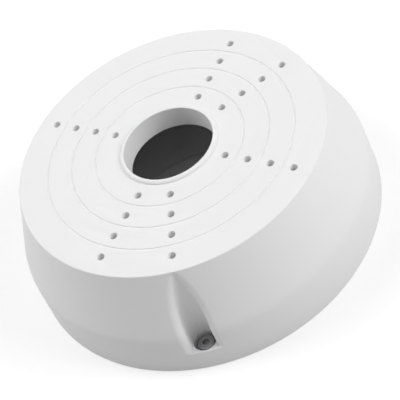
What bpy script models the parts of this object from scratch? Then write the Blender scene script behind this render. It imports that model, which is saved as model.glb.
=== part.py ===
"""Round surface-mount junction box: a cast cone with a lipped cable bore, a grid of blind device holes and
three screw pockets, closed at the back by a steel plate.

Lengths are in metres and +Z points out of the wall. The origin is the centre of the rim that meets the wall.
"""

import math

import bmesh
import bpy
from mathutils import Matrix, Vector

# Outer form of the casting: a band that tapers a little from the wall up to the crease, then a cone
HEIGHT = 0.0470
BASE_RADIUS = 0.0748
BAND_TAPER = 0.0009
CONE_TAPER = 0.0102
CREASE_HEIGHT = 0.0190
CREASE_BLEND = 0.0020
TOP_EDGE_ROUND = 0.0005
BASE_EDGE_ROUND = 0.0003

# Walls of the casting
TOP_THICKNESS = 0.0030
WALL = 0.0031
RIM_WALL = 0.0022
BOSS_START = 0.0075

# Cable bore, with its raised lip in front and its collar behind the top plate
BORE_RADIUS = 0.0185
BORE_CHAMFER = 0.0004
LIP_HEIGHT = 0.0012
LIP_WIDTH = 0.0019
LIP_FLAT = 0.0005
COLLAR_DEPTH = 0.0089
COLLAR_WALL = 0.0025

# Turned grooves that mark out the device face, spaced inwards from near its edge
GROOVE_MARGIN = 0.0124
GROOVE_PITCH = 0.0102
GROOVE_WIDTH = 0.0010
GROOVE_DEPTH = 0.0004

# Device holes, on rings spaced inwards from near the edge: a three-hole and a four-hole pattern share them
HOLE_MARGIN = 0.0077
HOLE_PITCH = 0.0100
HOLE_RADIUS = 0.0015
HOLE_DEPTH = 0.0070
HOLE_BOSS_RADIUS = 0.0034
HOLE_BOSS_FLOOR = 0.0012
RIB_THICKNESS = 0.0022
RIB_DEPTH = 0.0030
PATTERN_START = 150
THREE_HOLE_STEP = 120
FOUR_HOLE_STEP = 90

# Screw pockets in the side, where a driver comes down beside the device face
POCKET_ANGLES = (270, 30, 150)
POCKET_INSET = 0.0057
LEDGE_HEIGHT = 0.0099
CHANNEL_RADIUS = 0.0048
CHANNEL_RADIUS_AT_TOP = 0.0018
CHANNEL_RUN = 0.0260
FLARE_RADIUS = 0.0029
FLARE_RADIUS_AT_TOP = 0.0040
FLARE_RUN = 0.0300
NARROWEST_POCKET = 0.0008
COUNTERBORE_CLEARANCE = 0.0001
COUNTERBORE_DEPTH = 0.0050
BOSS_WALL = 0.0024
BOSS_FILLET = 0.0020

# Clearances
SEAT_GAP = 0.0003
SHANK_CLEARANCE = 0.0003
EDGE_CLEARANCE = 0.0003

# Steel plate that closes the back
PLATE_THICKNESS = 0.0025
DISH_RADIUS = 0.0345
DISH_RISE = 0.0015
ENTRY_RADIUS = 0.0150
SLOT_WIDTH = 0.0040
SLOT_SPACING = 0.0861
SLOT_TRAVEL = 0.0028
SLOT_ANGLES = (60, 240)

# Foam ring under the dish, and the rubber bush that lines the cable entry
GASKET_MARGIN = 0.0035
GASKET_WIDTH = 0.0110
GROMMET_WALL = 0.0024
GROMMET_FLANGE = 0.0028
GROMMET_FRONT = 0.0014
GROMMET_EDGE = 0.0006
GROMMET_LEAD = 0.0014

# Captive machine screws and their sealing washers
SCREW_RADIUS = 0.0020
HEAD_RADIUS = 0.0035
HEAD_HEIGHT = 0.0024
HEAD_ROUND = 0.0008
HEX_RADIUS = 0.0015
HEX_DEPTH = 0.0015
SCREW_END = 0.0006
SEAL_THICKNESS = 0.0008
SEAL_EDGE = 0.0034

# Colours
WHITE_COLOUR = (0.83, 0.83, 0.83)
RUBBER_COLOUR = (0.03, 0.03, 0.03)
STEEL_COLOUR = (0.35, 0.35, 0.36)

# How finely curves are divided. All divide by six, so that the box keeps its plane of symmetry
TURNED_STEPS = 60
RUBBER_STEPS = 36
HOLE_STEPS = 12
BOSS_STEPS = 12
SCREW_STEPS = 24
HEX_STEPS = 6

# How finely the pocketed sections are divided, and how far down the cone each lies
ARC_STEPS = 9
CHANNEL_STEPS = 6
FLARE_STEPS = 4
EDGE_STEPS = 2
LIP_STEPS = 3
SECTION_SHARES = (0.07, 0.17, 0.29, 0.43, 0.60, 0.80, 1.0)

# How far a cutting shape runs past the face that it cuts
OVERRUN = 0.0010
MERGE = 0.000001

# Heights and radii that follow from the sizes above
CREASE_RADIUS = BASE_RADIUS - BAND_TAPER
TOP_RADIUS = CREASE_RADIUS - CONE_TAPER
POCKET_CENTRE = BASE_RADIUS - POCKET_INSET
CEILING = HEIGHT - TOP_THICKNESS
LIP_TOP = HEIGHT + LIP_HEIGHT
COLLAR_END = HEIGHT - COLLAR_DEPTH
COLLAR_RADIUS = BORE_RADIUS + COLLAR_WALL
LIP_RADIUS = BORE_RADIUS + LIP_WIDTH
BOSS_END = HEIGHT - HOLE_DEPTH - HOLE_BOSS_FLOOR
PLATE_BACK = SEAT_GAP
PLATE_FRONT = PLATE_BACK + PLATE_THICKNESS
STEP_HEIGHT = PLATE_FRONT + SEAT_GAP
REBATE_RADIUS = BASE_RADIUS - RIM_WALL
PLATE_RADIUS = REBATE_RADIUS - EDGE_CLEARANCE
DISH_BACK = PLATE_BACK + DISH_RISE
DISH_FRONT = PLATE_FRONT + DISH_RISE
GASKET_OUTER_RADIUS = DISH_RADIUS - GASKET_MARGIN
GASKET_INNER_RADIUS = GASKET_OUTER_RADIUS - GASKET_WIDTH
COUNTERBORE_FLOOR = LEDGE_HEIGHT - COUNTERBORE_DEPTH
COUNTERBORE_RADIUS = CHANNEL_RADIUS - COUNTERBORE_CLEARANCE
SEAL_BOTTOM = COUNTERBORE_FLOOR + SEAT_GAP
HEAD_BOTTOM = SEAL_BOTTOM + SEAL_THICKNESS + SEAT_GAP
SHANK_HOLE_RADIUS = SCREW_RADIUS + SHANK_CLEARANCE


def clear_scene():
    for item in list(bpy.data.objects):
        bpy.data.objects.remove(item, do_unlink=True)


def make_collection(name, parent=None):
    made = bpy.data.collections.new(name)
    (parent or bpy.context.scene.collection).children.link(made)
    return made


def make_material(name, colour, roughness, metallic):
    made = bpy.data.materials.new(name)
    made.use_nodes = True
    shader = made.node_tree.nodes["Principled BSDF"]
    shader.inputs["Base Color"].default_value = (*colour, 1.0)
    shader.inputs["Roughness"].default_value = roughness
    shader.inputs["Metallic"].default_value = metallic
    made.diffuse_color = (*colour, 1.0)
    return made


def add_object(name, mesh, home, finish=None):
    made = bpy.data.objects.new(name, mesh)
    home.objects.link(made)
    if finish:
        mesh.materials.append(finish)
    return made


def hide_helper(helper):
    helper.hide_render = True
    helper.display_type = "WIRE"
    return helper


def cut_or_join(target, helper, operation):
    """Applies one shape, or every shape in a collection, to the target as a live Boolean."""
    modifier = target.modifiers.new(helper.name, "BOOLEAN")
    modifier.solver = "EXACT"
    modifier.operation = operation
    if isinstance(helper, bpy.types.Collection):
        modifier.operand_type = "COLLECTION"
        modifier.collection = helper
    else:
        modifier.object = helper


def round_shading(item, angle=30):
    item.data.shade_smooth()
    item.data.set_sharp_from_angle(angle=math.radians(angle))


def turned(name, profile, home, steps, finish=None):
    """A solid turned round Z from a profile of (radius, height), listed down its outer side first.

    A profile that starts on the axis ends on it too, and any other is closed into a ring.
    """
    mesh = bpy.data.meshes.new(name)
    points = [(radius, 0.0, height) for radius, height in profile]
    edges = [(index, index + 1) for index in range(len(points) - 1)]
    if profile[0][0] > 0.0:
        edges.append((len(points) - 1, 0))
    mesh.from_pydata(points, edges, [])
    made = add_object(name, mesh, home, finish)
    screw = made.modifiers.new("turn", "SCREW")
    screw.axis = "Z"
    screw.steps = steps
    screw.render_steps = steps
    screw.use_merge_vertices = True
    screw.merge_threshold = MERGE
    screw.use_smooth_shade = True
    return made


def cylinder(name, radius, low, high, centre, home, steps, finish=None):
    """A closed cylinder that stands on the height low at the given (x, y)."""
    mesh = bpy.data.meshes.new(name)
    work = bmesh.new()
    depth = high - low
    bmesh.ops.create_cone(work, cap_ends=True, segments=steps, radius1=radius, radius2=radius, depth=depth)
    work.to_mesh(mesh)
    work.free()
    made = add_object(name, mesh, home, finish)
    made.location = (centre[0], centre[1], (low + high) / 2)
    return made


def box(name, size, centre, turn, home):
    """A box of the given size whose centre is at the given point, turned about Z."""
    mesh = bpy.data.meshes.new(name)
    work = bmesh.new()
    bmesh.ops.create_cube(work, size=1.0)
    bmesh.ops.scale(work, vec=Vector(size), verts=work.verts)
    work.to_mesh(mesh)
    work.free()
    made = add_object(name, mesh, home)
    made.location = centre
    made.rotation_euler = (0.0, 0.0, turn)
    return made


def at_angle(radius, degrees):
    angle = math.radians(degrees)
    return radius * math.cos(angle), radius * math.sin(angle)


def outer_radius(height):
    """The casting's outer radius: a cone above the crease, a nearly upright band below, and a soft blend."""
    upper = (TOP_RADIUS - CREASE_RADIUS) / (HEIGHT - CREASE_HEIGHT)
    lower = (CREASE_RADIUS - BASE_RADIUS) / CREASE_HEIGHT
    start = CREASE_HEIGHT - CREASE_BLEND
    if height <= start:
        return BASE_RADIUS + lower * height
    if height >= CREASE_HEIGHT + CREASE_BLEND:
        return TOP_RADIUS + upper * (height - HEIGHT)
    run = height - start
    return BASE_RADIUS + lower * height + (upper - lower) * run * run / (4 * CREASE_BLEND)


def channel_radius(height):
    """The pocket's channel is slim at the device face and reaches its full width on the way down."""
    share = min((HEIGHT - height) / CHANNEL_RUN, 1.0)
    growth = CHANNEL_RADIUS - CHANNEL_RADIUS_AT_TOP
    return CHANNEL_RADIUS_AT_TOP + growth * math.sin(share * math.pi / 2)


def channel_centre(height):
    """The channel's innermost line leans from the device face's edge to the back of the counterbore."""
    share = (HEIGHT - height) / (HEIGHT - LEDGE_HEIGHT)
    innermost = TOP_RADIUS + (POCKET_CENTRE - CHANNEL_RADIUS - TOP_RADIUS) * share
    return innermost + channel_radius(height)


def flare_radius(height):
    """The rounding between channel and cone, which is largest at the device face."""
    share = min((HEIGHT - height) / FLARE_RUN, 1.0)
    return FLARE_RADIUS_AT_TOP + (FLARE_RADIUS - FLARE_RADIUS_AT_TOP) * share


def flare_centre(radius, middle, channel, flare):
    """Centre (across, out) of the flare between the round wall and the channel, or None where they part."""
    reach = radius - flare
    apart = channel + flare
    out = (reach**2 - apart**2 + middle**2) / (2 * middle)
    if out >= middle:
        return apart, math.sqrt(reach**2 - apart**2)
    if out >= reach:
        return None
    return math.sqrt(reach**2 - out**2), out


def channel_points(middle, channel, centre):
    """Half the channel from its innermost point: an arc, then a straight wall where the pocket is deep."""
    across, out = centre
    if out >= middle:
        sweep = math.pi / 2
        straight = out - middle
    else:
        sweep = math.atan2(across, middle - out)
        straight = 0.0
    arc = sweep * channel
    points = []
    for step in range(CHANNEL_STEPS + 1):
        way = (arc + straight) * step / CHANNEL_STEPS
        turn = min(way, arc) / channel
        rise = max(way - arc, 0.0)
        points.append((channel * math.sin(turn), middle - channel * math.cos(turn) + rise))
    return points


def flare_points(middle, flare, centre):
    """The flare's arc, from the channel's wall out to the round wall."""
    across, out = centre
    start = -math.pi / 2 if out >= middle else math.atan2(across, out - middle) - math.pi
    end = math.atan2(across, out)
    points = []
    for step in range(1, FLARE_STEPS + 1):
        turn = start + (end - start) * step / FLARE_STEPS
        points.append((across + flare * math.sin(turn), out + flare * math.cos(turn)))
    return points


def round_points(radius, start):
    """The round wall from the pocket's mouth to halfway to the next pocket."""
    end = math.pi / len(POCKET_ANGLES)
    points = []
    for step in range(1, ARC_STEPS + 1):
        turn = start + (end - start) * step / ARC_STEPS
        points.append((radius * math.sin(turn), radius * math.cos(turn)))
    return points


def plain_half(radius, width):
    """Half a section with no pocket, divided like the pocketed one that meets it."""
    mouth = math.asin(width / radius)
    count = CHANNEL_STEPS + FLARE_STEPS
    turns = [mouth * step / count for step in range(count + 1)]
    points = [(radius * math.sin(turn), radius * math.cos(turn)) for turn in turns]
    return points + round_points(radius, mouth)


def pocket_half(radius, middle, channel, flare):
    """Half a section through one pocket, from the channel's innermost point round to the next pocket."""
    centre = flare_centre(radius, middle, channel, flare)
    width = centre[0] * radius / (radius - flare) if centre else 0.0
    if width <= NARROWEST_POCKET:
        return plain_half(radius, NARROWEST_POCKET)
    points = channel_points(middle, channel, centre) + flare_points(middle, flare, centre)
    return points + round_points(radius, math.asin(width / radius))


def whole_ring(half, height):
    """Repeats half a section, mirrored and turned to each pocket, into one closed ring."""
    third = [(-across, out) for across, out in reversed(half[1:])] + half[:-1]
    ring = []
    for degrees in sorted(POCKET_ANGLES):
        turn = Matrix.Rotation(math.radians(degrees - 90), 3, "Z")
        ring += [turn @ Vector((-across, out, height)) for across, out in third]
    return ring


def loft(name, rings, home, finish=None):
    """Skins a stack of rings, listed from the top down, with flat triangles and caps both ends."""
    mesh = bpy.data.meshes.new(name)
    work = bmesh.new()
    rows = [[work.verts.new(point) for point in ring] for ring in rings]
    count = len(rows[0])
    for upper, lower in zip(rows, rows[1:]):
        for index in range(count):
            after = (index + 1) % count
            work.faces.new((upper[index], lower[index], lower[after], upper[after]))
    work.faces.new(rows[0])
    work.faces.new(reversed(rows[-1]))
    bmesh.ops.remove_doubles(work, verts=work.verts, dist=MERGE)
    bmesh.ops.recalc_face_normals(work, faces=work.faces)
    bmesh.ops.triangulate(work, faces=[face for face in work.faces if len(face.verts) == 4])
    work.to_mesh(mesh)
    work.free()
    return add_object(name, mesh, home, finish)


def top_edge_rings():
    """The rounded edge between the device face and the cone."""
    slope = (CREASE_RADIUS - TOP_RADIUS) / (HEIGHT - CREASE_HEIGHT)
    centre_radius = TOP_RADIUS + TOP_EDGE_ROUND * (slope - math.hypot(1.0, slope))
    centre_height = HEIGHT - TOP_EDGE_ROUND
    sweep = math.pi / 2 - math.atan(slope)
    rings = []
    for step in range(EDGE_STEPS + 1):
        turn = sweep * step / EDGE_STEPS
        radius = centre_radius + TOP_EDGE_ROUND * math.sin(turn)
        height = centre_height + TOP_EDGE_ROUND * math.cos(turn)
        rings.append(whole_ring(plain_half(radius, NARROWEST_POCKET), height))
    return rings


def pocketed_heights():
    """Heights of the sections down the cone and the band, closer together where the pocket begins."""
    run = HEIGHT - CREASE_HEIGHT - CREASE_BLEND
    cone = [HEIGHT - run * share for share in SECTION_SHARES]
    return cone + [CREASE_HEIGHT, CREASE_HEIGHT - CREASE_BLEND, LEDGE_HEIGHT]


def skin_rings():
    """Sections of the casting's outside, from the device face down to the rim on the wall."""
    rings = top_edge_rings()
    for height in pocketed_heights():
        middle = channel_centre(height)
        half = pocket_half(outer_radius(height), middle, channel_radius(height), flare_radius(height))
        rings.append(whole_ring(half, height))
    radius = outer_radius(LEDGE_HEIGHT)
    width = (CHANNEL_RADIUS + FLARE_RADIUS) * radius / (radius - FLARE_RADIUS)
    rings.append(whole_ring(plain_half(radius, width), LEDGE_HEIGHT))
    rings.append(whole_ring(plain_half(outer_radius(BASE_EDGE_ROUND), width), BASE_EDGE_ROUND))
    rings.append(whole_ring(plain_half(BASE_RADIUS - BASE_EDGE_ROUND, width), 0.0))
    return rings


def cavity_ring(height):
    """A section of the hollow inside, which keeps clear of the pockets by the wall round their screws."""
    radius = outer_radius(height) - WALL
    return whole_ring(pocket_half(radius, POCKET_CENTRE, CHANNEL_RADIUS + BOSS_WALL, BOSS_FILLET), height)


def cavity_rings():
    """Sections of the hollow, from under the device face down through the rebate that takes the plate."""
    crease = (CREASE_HEIGHT + CREASE_BLEND, CREASE_HEIGHT - CREASE_BLEND)
    heights = (CEILING, CEILING - BOSS_START, *crease, STEP_HEIGHT)
    rings = [cavity_ring(height) for height in heights]
    rings.append(whole_ring(plain_half(REBATE_RADIUS, HEAD_RADIUS), STEP_HEIGHT))
    rings.append(whole_ring(plain_half(REBATE_RADIUS, HEAD_RADIUS), -OVERRUN))
    return rings


def ring_radii(margin, pitch, clearance):
    """Radii spaced inwards from near the device face's edge, as many as fit outside the lip."""
    outermost = TOP_RADIUS - margin
    steps = math.floor((outermost - LIP_RADIUS - clearance) / pitch)
    return [outermost - pitch * step for step in range(steps + 1)]


def hole_rings():
    return ring_radii(HOLE_MARGIN, HOLE_PITCH, HOLE_BOSS_RADIUS)


def hole_angles():
    """The rays of device holes: those of the three-hole pattern and of the four-hole one."""
    three = {(PATTERN_START + step) % 360 for step in range(0, 360, THREE_HOLE_STEP)}
    four = {(PATTERN_START + step) % 360 for step in range(0, 360, FOUR_HOLE_STEP)}
    return sorted(three | four)


def add_device_bosses(helpers):
    """A boss behind each device hole, and a rib that ties each ray of bosses to the collar and the wall."""
    group = make_collection("device_bosses", helpers)
    overlap = TOP_THICKNESS / 2
    top = CEILING + overlap
    inner = BORE_RADIUS + COLLAR_WALL / 2
    outer = outer_radius(CEILING) - WALL / 2
    for angle in hole_angles():
        for number, radius in enumerate(hole_rings(), 1):
            centre = at_angle(radius, angle)
            name = f"boss_{angle}_{number}"
            boss = cylinder(name, HOLE_BOSS_RADIUS, BOSS_END, top, centre, group, BOSS_STEPS)
            hide_helper(boss)
        size = (outer - inner, RIB_THICKNESS, RIB_DEPTH + overlap)
        middle = (*at_angle((outer + inner) / 2, angle), CEILING - (RIB_DEPTH - overlap) / 2)
        hide_helper(box(f"rib_{angle}", size, middle, math.radians(angle), group))
    return group


def add_collar(helpers):
    """The ring round the cable bore: a rounded lip in front and a plain collar behind."""
    inner = BORE_RADIUS - OVERRUN
    flat = BORE_RADIUS + LIP_FLAT
    profile = []
    for step in range(LIP_STEPS + 1):
        turn = math.pi / 2 * step / LIP_STEPS
        radius = flat + (LIP_RADIUS - flat) * math.sin(turn)
        profile.append((radius, HEIGHT + LIP_HEIGHT * math.cos(turn)))
    profile += [
        (LIP_RADIUS, CEILING + TOP_THICKNESS / 2),
        (COLLAR_RADIUS, CEILING + TOP_THICKNESS / 2),
        (COLLAR_RADIUS, COLLAR_END),
        (inner, COLLAR_END),
        (inner, LIP_TOP),
    ]
    return hide_helper(turned("collar", profile, helpers, TURNED_STEPS))


def add_bore(helpers):
    """The cable bore, with a small chamfer at its mouth."""
    profile = [
        (0.0, LIP_TOP + OVERRUN),
        (BORE_RADIUS + BORE_CHAMFER + OVERRUN, LIP_TOP + OVERRUN),
        (BORE_RADIUS, LIP_TOP - BORE_CHAMFER),
        (BORE_RADIUS, COLLAR_END - OVERRUN),
        (0.0, COLLAR_END - OVERRUN),
    ]
    return hide_helper(turned("bore", profile, helpers, TURNED_STEPS))


def add_grooves(helpers):
    """Shallow vee grooves round the device face."""
    group = make_collection("grooves", helpers)
    for number, radius in enumerate(ring_radii(GROOVE_MARGIN, GROOVE_PITCH, GROOVE_WIDTH), 1):
        profile = [
            (radius + GROOVE_WIDTH, HEIGHT + GROOVE_DEPTH),
            (radius, HEIGHT - GROOVE_DEPTH),
            (radius - GROOVE_WIDTH, HEIGHT + GROOVE_DEPTH),
        ]
        hide_helper(turned(f"groove_{number}", profile, group, TURNED_STEPS))
    return group


def add_drillings(helpers):
    """The blind device holes, and each pocket's counterbore and screw hole."""
    group = make_collection("drillings", helpers)
    floor = HEIGHT - HOLE_DEPTH
    for angle in hole_angles():
        for number, radius in enumerate(hole_rings(), 1):
            centre = at_angle(radius, angle)
            name = f"hole_{angle}_{number}"
            hide_helper(cylinder(name, HOLE_RADIUS, floor, HEIGHT + OVERRUN, centre, group, HOLE_STEPS))
    top = LEDGE_HEIGHT + SEAT_GAP
    for angle in POCKET_ANGLES:
        centre = at_angle(POCKET_CENTRE, angle)
        seat = (COUNTERBORE_RADIUS, COUNTERBORE_FLOOR, top)
        way = (SHANK_HOLE_RADIUS, 0.0, LEDGE_HEIGHT)
        hide_helper(cylinder(f"seat_{angle}", *seat, centre, group, SCREW_STEPS))
        hide_helper(cylinder(f"way_{angle}", *way, centre, group, SCREW_STEPS))
    return group


def build_housing(home, helpers, finish):
    """The casting: a pocketed cone, hollowed from the back, with its collar, bosses and holes worked in."""
    housing = loft("housing", skin_rings(), home, finish)
    hollow = hide_helper(loft("hollow", cavity_rings(), helpers))
    cut_or_join(housing, hollow, "DIFFERENCE")
    cut_or_join(housing, add_device_bosses(helpers), "UNION")
    cut_or_join(housing, add_collar(helpers), "UNION")
    cut_or_join(housing, add_bore(helpers), "DIFFERENCE")
    cut_or_join(housing, add_grooves(helpers), "DIFFERENCE")
    cut_or_join(housing, add_drillings(helpers), "DIFFERENCE")
    round_shading(housing)
    return housing


def add_slot(name, angle, helpers):
    """A round-ended slot through the plate, pointing at its middle: a cylinder pulled apart."""
    low = PLATE_BACK - OVERRUN
    high = PLATE_FRONT + OVERRUN
    middle = at_angle(SLOT_SPACING / 2, angle)
    slot = cylinder(name, SLOT_WIDTH / 2, low, high, middle, helpers, SCREW_STEPS)
    slot.rotation_euler = (0.0, 0.0, math.radians(angle))
    for corner in slot.data.vertices:
        corner.co.x += math.copysign(SLOT_TRAVEL / 2, corner.co.x + MERGE)
    return hide_helper(slot)


def build_plate(home, helpers, finish):
    """The pressed steel plate: flat at its edge, dished forward round the cable entry."""
    profile = [
        (PLATE_RADIUS, PLATE_FRONT),
        (PLATE_RADIUS, PLATE_BACK),
        (DISH_RADIUS + DISH_RISE, PLATE_BACK),
        (DISH_RADIUS, DISH_BACK),
        (ENTRY_RADIUS, DISH_BACK),
        (ENTRY_RADIUS, DISH_FRONT),
        (DISH_RADIUS - DISH_RISE, DISH_FRONT),
        (DISH_RADIUS, PLATE_FRONT),
    ]
    plate = turned("base_plate", profile, home, TURNED_STEPS, finish)
    for number, angle in enumerate(SLOT_ANGLES, 1):
        cut_or_join(plate, add_slot(f"slot_{number}", angle, helpers), "DIFFERENCE")
    low = PLATE_BACK - OVERRUN
    high = PLATE_FRONT + OVERRUN
    for angle in POCKET_ANGLES:
        centre = at_angle(POCKET_CENTRE, angle)
        tapped = cylinder(f"tapped_{angle}", SHANK_HOLE_RADIUS, low, high, centre, helpers, SCREW_STEPS)
        cut_or_join(plate, hide_helper(tapped), "DIFFERENCE")
    return plate


def build_gasket(home, finish):
    """The foam ring that seals the cable entry against the wall."""
    top = DISH_BACK - SEAT_GAP
    profile = [
        (GASKET_OUTER_RADIUS, top),
        (GASKET_OUTER_RADIUS, PLATE_BACK),
        (GASKET_INNER_RADIUS, PLATE_BACK),
        (GASKET_INNER_RADIUS, top),
    ]
    return turned("wall_gasket", profile, home, RUBBER_STEPS, finish)


def build_grommet(home, finish):
    """The rubber bush that grips the plate's edge and keeps cables off it."""
    neck = ENTRY_RADIUS - EDGE_CLEARANCE
    inner = neck - GROMMET_WALL
    flange = neck + GROMMET_FLANGE
    front = DISH_FRONT + SEAT_GAP
    back = DISH_BACK - SEAT_GAP
    profile = [
        (inner + GROMMET_LEAD, front + GROMMET_FRONT),
        (flange, front + GROMMET_EDGE),
        (flange, front),
        (neck, front),
        (neck, back),
        (flange, back),
        (flange, PLATE_BACK),
        (inner, PLATE_BACK),
        (inner, front + GROMMET_EDGE),
    ]
    return turned("entry_grommet", profile, home, RUBBER_STEPS, finish)


def build_screw(number, angle, home, helpers, finish):
    """A button-headed machine screw with a hexagon socket, from the pocket into the plate."""
    top = HEAD_BOTTOM + HEAD_HEIGHT
    halfway = HEAD_ROUND * (1 - math.cos(math.pi / 4))
    profile = [
        (0.0, top),
        (HEAD_RADIUS - HEAD_ROUND, top),
        (HEAD_RADIUS - halfway, top - halfway),
        (HEAD_RADIUS, top - HEAD_ROUND),
        (HEAD_RADIUS, HEAD_BOTTOM),
        (SCREW_RADIUS, HEAD_BOTTOM),
        (SCREW_RADIUS, SCREW_END),
        (0.0, SCREW_END),
    ]
    centre = at_angle(POCKET_CENTRE, angle)
    screw = turned(f"pocket_screw_{number}", profile, home, SCREW_STEPS, finish)
    screw.location = (*centre, 0.0)
    floor = top - HEX_DEPTH
    socket = cylinder(f"socket_{number}", HEX_RADIUS, floor, top + OVERRUN, centre, helpers, HEX_STEPS)
    cut_or_join(screw, hide_helper(socket), "DIFFERENCE")
    return screw


def build_seal(number, angle, home, finish):
    """The washer that seals a screw's head in its counterbore."""
    top = SEAL_BOTTOM + SEAL_THICKNESS
    profile = [
        (SEAL_EDGE, top),
        (SEAL_EDGE, SEAL_BOTTOM),
        (SHANK_HOLE_RADIUS, SEAL_BOTTOM),
        (SHANK_HOLE_RADIUS, top),
    ]
    seal = turned(f"screw_seal_{number}", profile, home, SCREW_STEPS, finish)
    seal.location = (*at_angle(POCKET_CENTRE, angle), 0.0)
    return seal


def main():
    clear_scene()
    home = make_collection("junction_box")
    helpers = make_collection("cutters")
    helpers.hide_render = True
    white = make_material("white_paint", WHITE_COLOUR, 0.45, 0.0)
    coat = make_material("white_coated_steel", WHITE_COLOUR, 0.6, 0.0)
    rubber = make_material("black_rubber", RUBBER_COLOUR, 0.8, 0.0)
    steel = make_material("screw_steel", STEEL_COLOUR, 0.35, 1.0)
    build_housing(home, helpers, white)
    build_plate(home, helpers, coat)
    build_gasket(home, rubber)
    build_grommet(home, rubber)
    for number, angle in enumerate(POCKET_ANGLES, 1):
        build_screw(number, angle, home, helpers, steel)
        build_seal(number, angle, home, rubber)


main()
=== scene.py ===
"""Finished look of a round surface-mount junction box, laid out as an add-on and run as a script.

Lengths are in metres and +Z points out of the wall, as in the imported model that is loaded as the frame.
"""

import math

import bmesh
import bpy
from bpy.props import FloatProperty, FloatVectorProperty, PointerProperty
from bpy.types import Operator, Panel, PropertyGroup
from mathutils import Matrix, Vector


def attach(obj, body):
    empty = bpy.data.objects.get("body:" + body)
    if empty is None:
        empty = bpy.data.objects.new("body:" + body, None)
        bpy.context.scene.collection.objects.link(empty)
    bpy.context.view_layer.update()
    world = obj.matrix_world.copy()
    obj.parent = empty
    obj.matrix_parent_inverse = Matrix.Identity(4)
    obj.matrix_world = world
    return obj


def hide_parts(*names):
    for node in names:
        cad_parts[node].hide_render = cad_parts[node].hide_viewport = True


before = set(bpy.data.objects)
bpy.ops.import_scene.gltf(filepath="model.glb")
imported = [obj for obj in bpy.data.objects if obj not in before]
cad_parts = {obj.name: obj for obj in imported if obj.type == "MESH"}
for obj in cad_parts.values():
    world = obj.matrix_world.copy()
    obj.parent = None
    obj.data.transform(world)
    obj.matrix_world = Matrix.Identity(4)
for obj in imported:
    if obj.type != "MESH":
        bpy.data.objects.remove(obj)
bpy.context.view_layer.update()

bl_info = {
    "name": "Round Junction Box",
    "version": (1, 0, 0),
    "blender": (4, 5, 0),
    "location": "View3D > Sidebar > Junction Box",
    "description": "Dresses the packed model of a round cast junction box in its finished surfaces",
    "category": "Object",
}

# Angles of the three screw pockets, and what repeats on rays as (first ray, step, rays), all in degrees.
# The ray at 150 belongs to both patterns of device holes, and is made with the pattern of four.
POCKET_ANGLES = (270, 30, 150)
POCKET_RAYS = (270, 120, 3)
HOLE_PATTERNS = ((270, 120, 2), (150, 90, 4))
SLOT_RAYS = (60, 180, 2)
HOLE_RINGS = 4
GROOVE_COUNT = 3

# How finely curves are divided
TURNED_STEPS = 192
RUBBER_STEPS = 128
FILLET_STEPS = 4
LIP_STEPS = 10
HOLE_STEPS = 32
BOSS_STEPS = 24
SCREW_STEPS = 48
HEX_STEPS = 6
THREAD_SIDES = 36
THREAD_ROWS_PER_TURN = 8
THREAD_SLOPE = 2.4

# How finely the pocketed sections are divided
ARC_STEPS = 28
CHANNEL_STEPS = 16
FLARE_STEPS = 10
EDGE_STEPS = 6
CONE_SECTIONS = 26
CREASE_SECTIONS = 8
SECTION_CROWDING = 1.3
NARROWEST_POCKET = 0.0008

# How far a cutting shape runs past the face that it cuts, the distance within which points merge,
# the angle from which an edge is shaded sharp, and a quarter of a turn
OVERRUN = 0.0010
MERGE = 0.000001
SHARP_ANGLE = math.radians(30)
QUARTER = math.pi / 2

# Camera that the photograph was taken with: its place, its axes (right, down, forward) and its lens
CAMERA_PLACE = (0.11640, -0.35918, 0.40161)
CAMERA_RIGHT = (0.94866182, -0.03710652, -0.31410804)
CAMERA_DOWN = (-0.23458348, -0.74867965, -0.62003982)
CAMERA_FORWARD = (-0.21215878, 0.66189266, -0.71894837)
CAMERA_LENS = 118.45
SENSOR_WIDTH = 36.0
NEAREST_SEEN = 0.01

# How strongly the white coats mirror what is round them, how steeply a speck sets in, and the foam's cells
COAT_GLOSS = 0.10
SPECK_SLOPE = 2.0
FOAM_CELLS_PER_METRE = 1800.0

# Stage: how far the floor reaches, how much it is whitened where it is seen, how far out it takes a shadow
# and from where it is all white, and the light all round
FLOOR_REACH = 4.0
FLOOR_GLOW = 0.43
SHADOW_REACH = 0.3
WHITE_FROM = 1.2
BACKDROP_LEVEL = 1.0
SKY_LEVEL = 0.37

# Lamps as (name, azimuth it shines from, elevation, power), all square, equally wide and equally far off
LAMPS = (("front_lamp", -6, 35, 13.6), ("back_lamp", 160, 50, 11.5), ("top_lamp", 0, 88, 1.7))
LAMP_DISTANCE = 1.6
LAMP_WIDTH = 0.9


def length(label, description, default):
    """A size in metres that a user can change."""
    settings = {"default": default, "min": 0.0, "unit": "LENGTH", "precision": 5}
    return FloatProperty(name=label, description=description, **settings)


def colour(label, description, default):
    """A colour that a user can change."""
    settings = {"default": default, "subtype": "COLOR", "size": 3, "min": 0.0, "max": 1.0}
    return FloatVectorProperty(name=label, description=description, **settings)


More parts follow.
